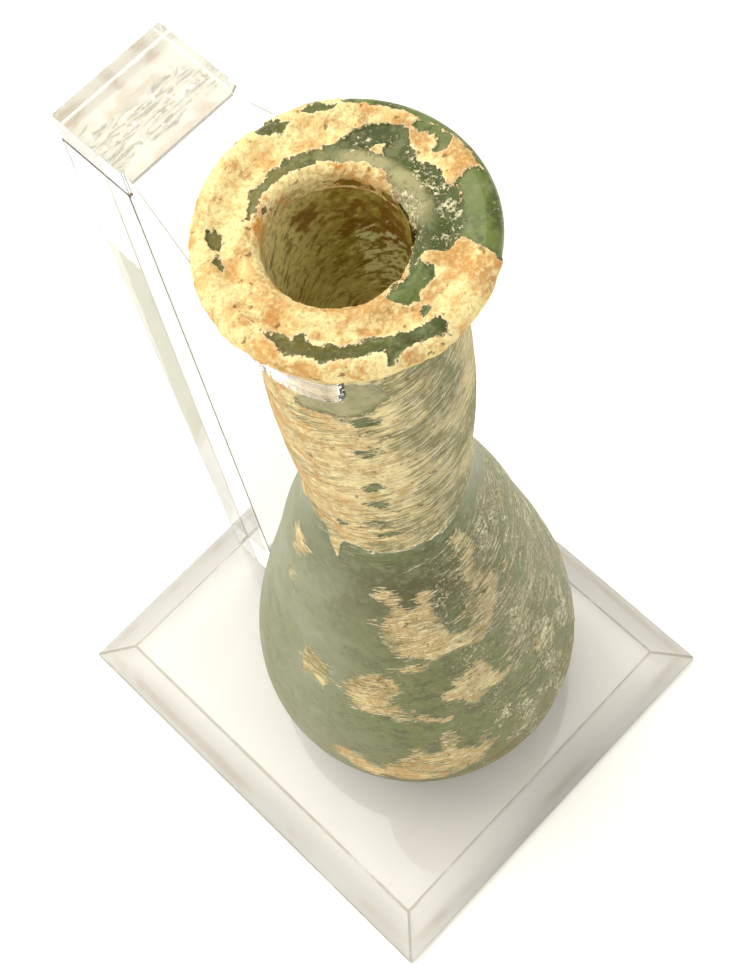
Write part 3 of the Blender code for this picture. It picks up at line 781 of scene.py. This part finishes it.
def finish_wall(skin, name, material):
    """Crust, threads and tints of the neck and body, by one set of rules so that their seam doesn't show."""
    p, angle, z = skin.base, skin.angle, skin.z
    turn = ((np.degrees(angle) - 148) % 360) * math.pi / 180 * 9.0
    line = np.array(NECK_SKIRT, dtype=float)
    level = np.interp(turn, (line[:, 0] - 148) * math.pi / 180 * 9.0, line[:, 1])
    crust = (z - level) * 0.8
    spots = np.full(len(z), -9.0)
    for key, outline in BARE_ON_NECK.items():
        depth = depth_round(outline, angle, z, 9.2)
        spots = np.maximum(spots, depth if key.startswith("spot") else -9.0)
        crust = np.minimum(crust, -0.1 - depth)
    crust = np.clip(crust, -2.5, 2.5)
    for outline in CRUST_ON_BODY.values():
        mid = sum(h for _, h in outline) / len(outline)
        radius = float(np.interp(mid, skin.z[::skin.segments], skin.r[::skin.segments]))
        crust = np.maximum(crust, depth_round(outline, angle, z, radius))
    islands = (fractal(p * [1.0, 1.0, 1.5], 3.4, 4, 45, 0.65) - 0.85) * 1.6
    islands = islands - 4 * smoothstep(40, 75, angle_gap(angle, -62)) - 4 * smoothstep(62, 66, z)
    crust = np.maximum(crust, np.minimum(islands, 0.6))
    crust = roughened(crust, p, 0.28 + 0.2 * smoothstep(62, 58, z), 1.3, 41)
    cover = smoothstep(-0.12, 0.14, crust)
    lumps = fractal(p, 1.8, 4, 51)
    neck_part = smoothstep(60, 68, z)
    lift = -0.12 + cover * (0.06 + 0.10 * neck_part) + cover * 0.04 * lumps + 0.03 * fractal(p, 7.0, 3, 61)

    right = smoothstep(100, 25, angle_gap(angle, -50))
    left = smoothstep(70, 20, angle_gap(angle, 160))
    on_body = smoothstep(68, 60, z)
    neck = 1 - on_body
    waist = smoothstep(66, 80, z) * smoothstep(108, 98, z)
    lift = lift + waist * (0.15 + 0.35 * smoothstep(80, 20, angle_gap(angle, 150)) + 0.2 * right)
    flank = smoothstep(14, 30, z) * smoothstep(62, 45, z)
    lift = lift - flank * 0.45 * smoothstep(60, 15, angle_gap(angle, 150))
    # The threads wind round the flask and climb a little to the right
    climb = (0.36 * neck + 0.12 * on_body) * gentle_climb(angle, -135) * skin.r
    flow = np.stack([skin.cos * skin.r * 0.26, skin.sin * skin.r * 0.26, (z - climb) * 2.4], -1)
    front = smoothstep(85, 35, angle_gap(angle, -140))
    window = smoothstep(-1.6, 0.6, depth_round(BARE_ON_NECK["window"], angle, z, 9.2))
    values = {
        "crust": crust,
        # Painted shade: the body darker under the neck on the front
        "deep_tone_and_shade": on_body * (0.15 + 0.85 * smoothstep(46, 60, z) * front) + neck * 0.25,
        "warm": on_body * (0.25 + 0.6 * smoothstep(26, 12, z)) + neck * 0.1,
        # Partly real frost and partly painted light: the body paler on its left, where light comes from
        "frost": on_body * (0.1 + 0.9 * left),
        "film": 0.62 * window + 0.25 * neck,
        "pale": on_body * (1.3 * right * smoothstep(12, 40, z) - 0.25) + neck * 0.4,
        "sparkle": on_body * right * np.clip(0.5 + 0.7 * fractal(p * [1.0, 1.0, 0.7], 3.0, 3, 47), 0, 1.3),
        "rust": 0.06 + 0.55 * neck * left + 0.4 * smoothstep(30, 15, z),
        # Painted light: the neck's crust lighter on its near side
        "painted_light": -0.05 - 0.05 * on_body + 0.5 * neck * smoothstep(70, 20, angle_gap(angle, -125)),
        "ash": on_body * (0.55 + 0.35 * right) + neck * (0.55 + 0.45 * right),
        "combed": neck * (0.45 + 0.4 * right + 0.5 * smoothstep(34, 12, angle_gap(angle, -98))) + on_body * 0.75,
        "fray": on_body * 0.6 + neck * (0.12 + 0.4 * smoothstep(-1.4, 0.0, spots)),
        "lipped": 0.15 + 0.75 * neck * smoothstep(1.6, 0.6, np.abs(z - level)),
        "satin": 0.75 * on_body + 0.5 * neck,
        "flow": flow,
    }
    return skin.make(name, lift, values, material)


def build_inside(material):
    skin = Skin(inner_profile(), *INSIDE_GRID)
    skin.nr, skin.nz = -skin.nr, -skin.nz
    p = skin.base
    lift = 0.05 * fractal(p, 2.0, 4, 71)
    turn = np.degrees(skin.angle)
    climb = 0.9 * gentle_climb(skin.angle, 45) * skin.r
    flow = np.stack([skin.cos * skin.r * 0.8, skin.sin * skin.r * 0.8, (skin.z + climb) * 1.1], -1)
    height = skin.z
    patch = 0.72 * smoothstep(22, 6, angle_gap(skin.angle, 76)) * smoothstep(2.6, 0.6, np.abs(height - 111.6))
    # Painted shade: darker brown just below the lip on this side, added into the stains
    shade = smoothstep(58, 30, angle_gap(skin.angle, 2)) * smoothstep(102.5, 108, height)
    pale_side = smoothstep(46, 14, angle_gap(skin.angle, 16))
    blot = smoothstep(26, 8, angle_gap(skin.angle, 36)) * smoothstep(5, 1.5, np.abs(height - 109))
    values = {
        "stain_and_shade": np.maximum(patch, np.maximum(shade * 0.55, blot * 0.6)) + 0.12,
        "frost": 0.85 * pale_side * smoothstep(13, 4, np.abs(height - 102)) - 0.1,
        # Paler near the top on one side; lighter deep down as painted light for light through the wall
        "light": smoothstep(45, 110, turn) * smoothstep(96, 108, height) + 0.35 * smoothstep(104, 94, height),
        "flow": flow,
    }
    return skin.make("flask_inside", lift, values, material)


glass = outer_glass("weathered_glass_outside")
build_rim(glass)
build_neck(glass)
build_body(glass)
build_inside(inner_glass("weathered_glass_inside"))

# Stand

SLAB_WIDTH = 58.8
SLAB_DEPTH = 64.0
POST_WIDTH = 13.2
POST_BACK = 27.5
POST_FRONT = 18.2
POST_TOP = 111.0
EDGE_POLISH = {"stand_base": 0.2, "stand_post": 0.3, "stand_fork": 0.08}
# Painted shade on each piece's polished edges, standing in for the dark reflections along them: its tint, the
# stretch in metres that has it, and the axis it is measured on
EDGE_SHADE = {
    "stand_base": ((0.48, 0.44, 0.38), -0.1, 0.1, 2),
    "stand_post": ((0.40, 0.38, 0.37), -0.1, 0.106, 2),
    "stand_fork": ((0.04, 0.035, 0.025), 0.002, 0.017, 1),
}


def polish(obj, width):
    """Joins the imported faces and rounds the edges, with the second material on the rounding."""
    joined = obj.modifiers.new("joined_faces", "WELD")
    joined.merge_threshold = 0.00001
    bevel = obj.modifiers.new("polished_edges", "BEVEL")
    bevel.width = width * MM
    bevel.use_clamp_overlap = False
    bevel.segments = 3
    bevel.limit_method = "ANGLE"
    bevel.angle_limit = math.radians(25)
    bevel.material = 1


for node in ("stand_base", "stand_post", "stand_fork"):
    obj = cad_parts[node]
    kind = bevelled_acrylic if node == "stand_base" else clear_acrylic
    material = kind("acrylic_" + node)
    for slot in obj.material_slots:
        slot.material = material
    obj.data.materials.append(polished_edge("edge_" + node, *EDGE_SHADE[node]))
    polish(obj, EDGE_POLISH[node])


CEMENT_GRID = (150, 110)
CEMENT_MARGIN = 0.02
CEMENT_RISE = 0.15


def build_cement():
    """A thin ragged film of cement on the post's top, under the fork's plate."""
    nx, ny = CEMENT_GRID
    half = POST_WIDTH / 2 - CEMENT_MARGIN
    x = np.tile(np.linspace(-half, half, nx), ny)
    y = np.repeat(np.linspace(POST_FRONT + CEMENT_MARGIN, POST_BACK - CEMENT_MARGIN, ny), nx)
    p = np.stack([x, y, np.zeros(len(x))], -1)
    ridges = fractal(p * [0.14, 1.0, 1.0], 0.7, 4, 91)
    z = CEMENT_RISE + 0.045 * np.clip(ridges, -1.2, 1.2)
    across = POST_WIDTH / 2 - 0.3 - np.abs(x)
    reach = np.minimum(across, np.minimum(y - POST_FRONT - 1.3, POST_BACK - 2.6 - y))
    reach = reach + 0.9 * fractal(p, 2.5, 4, 92)
    world = np.stack([x + AXIS_X, y, z + POST_TOP], -1) * MM
    quads = []
    for j in range(ny - 1):
        for i in range(nx - 1):
            k = j * nx + i
            quads.append((k, k + 1, k + nx + 1, k + nx))
    mesh = bpy.data.meshes.new("post_cement")
    mesh.from_pydata([tuple(v) for v in world], [], quads)
    mesh.shade_smooth()
    layer = mesh.attributes.new("squeezed", "FLOAT", "POINT")
    layer.data.foreach_set("value", smoothstep(-0.25, 0.25, reach).astype(np.float32))
    mesh.materials.append(dried_cement("dried_cement"))
    obj = bpy.data.objects.new("post_cement", mesh)
    bpy.context.scene.collection.objects.link(obj)
    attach(obj, "root")


build_cement()

# Floor

FLOOR_HALF = 1.2
FLOOR_Z = -0.0002
SIGNS = ((-1, -1), (1, -1), (1, 1), (-1, 1))
floor_mesh = bpy.data.meshes.new("floor")
floor_mesh.from_pydata([(a * FLOOR_HALF, b * FLOOR_HALF, FLOOR_Z) for a, b in SIGNS], [], [(0, 1, 2, 3)])
floor = bpy.data.objects.new("floor", floor_mesh)
bpy.context.scene.collection.objects.link(floor)
g = Graph("pale_floor")
cloud = g.noise(g.place(), 14, 3, 0.5)
g.shade("Base Color", g.mix(g.ramp(cloud, 0.3, 0.7), (0.885, 0.88, 0.865), (0.905, 0.90, 0.89)))
g.shade("Roughness", 0.7)
floor_mesh.materials.append(g.mat)

# Light: an even, slightly warm room, with a bright soft patch high behind the post and a lesser one
# on the left

ROOM_TINT = (1.0, 0.965, 0.88, 1.0)
ROOM_LEVEL = 1.0
# Each patch's direction, the cosines at its outer and inner edge, and its strength
PATCHES = (
    ((0, 0.60, 0.75), 0.76, 0.95, 3.0),
    ((-0.85, 0.30, 0.60), 0.90, 0.98, 1.2),
)
OVERHEAD = ((0, 0, 1), -0.1, 0.7, 0.10)

world = bpy.data.worlds.new("studio")
bpy.context.scene.world = world
world.use_nodes = True
tree = world.node_tree
sky = tree.nodes["Background"]
sky.inputs["Color"].default_value = ROOM_TINT
direction = tree.nodes.new("ShaderNodeTexCoord").outputs["Generated"]


def glow(towards, low, high, strength):
    """Strength of a soft round patch of light in the room, about a direction."""
    dot = tree.nodes.new("ShaderNodeVectorMath")
    dot.operation = "DOT_PRODUCT"
    tree.links.new(direction, dot.inputs[0])
    dot.inputs[1].default_value = Vector(towards).normalized()
    fade = tree.nodes.new("ShaderNodeMapRange")
    fade.interpolation_type = "SMOOTHSTEP"
    fade.inputs["From Min"].default_value = low
    fade.inputs["From Max"].default_value = high
    fade.inputs["To Max"].default_value = strength
    tree.links.new(dot.outputs["Value"], fade.inputs["Value"])
    return fade.outputs["Result"]


def plus(a, b):
    """The sum of a light's strength and a number or another strength."""
    made = tree.nodes.new("ShaderNodeMath")
    tree.links.new(a, made.inputs[0])
    if isinstance(b, float):
        made.inputs[1].default_value = b
    else:
        tree.links.new(b, made.inputs[1])
    return made.outputs[0]


room = plus(glow(*OVERHEAD), ROOM_LEVEL)
for patch in PATCHES:
    room = plus(room, glow(*patch))
tree.links.new(room, sky.inputs["Strength"])

# Camera

RIGHT = Vector((0.6948, -0.7150, -0.0776))
DOWN = Vector((-0.6844, -0.6241, -0.3770))
CAMERA_PLACE = (-0.039334, -0.060644, 0.238623)
SENSOR_WIDTH = 36.0
LENS = 63.26
MOST_BOUNCES = 32
camera_data = bpy.data.cameras.new("camera")
camera_data.sensor_width = SENSOR_WIDTH
camera_data.lens = LENS
camera_data.clip_start = 0.01
camera_data.clip_end = 10.0
camera = bpy.data.objects.new("camera", camera_data)
bpy.context.scene.collection.objects.link(camera)
RIGHT.normalize()
BACK = RIGHT.cross(-DOWN).normalized()
UP = BACK.cross(RIGHT)
camera.rotation_mode = "QUATERNION"
camera.rotation_quaternion = Matrix((RIGHT, UP, BACK)).transposed().to_quaternion()
camera.location = CAMERA_PLACE
bpy.context.scene.camera = camera
bpy.context.scene.view_settings.view_transform = "Standard"
bpy.context.scene.cycles.max_bounces = MOST_BOUNCES
bpy.context.scene.cycles.transmission_bounces = MOST_BOUNCES
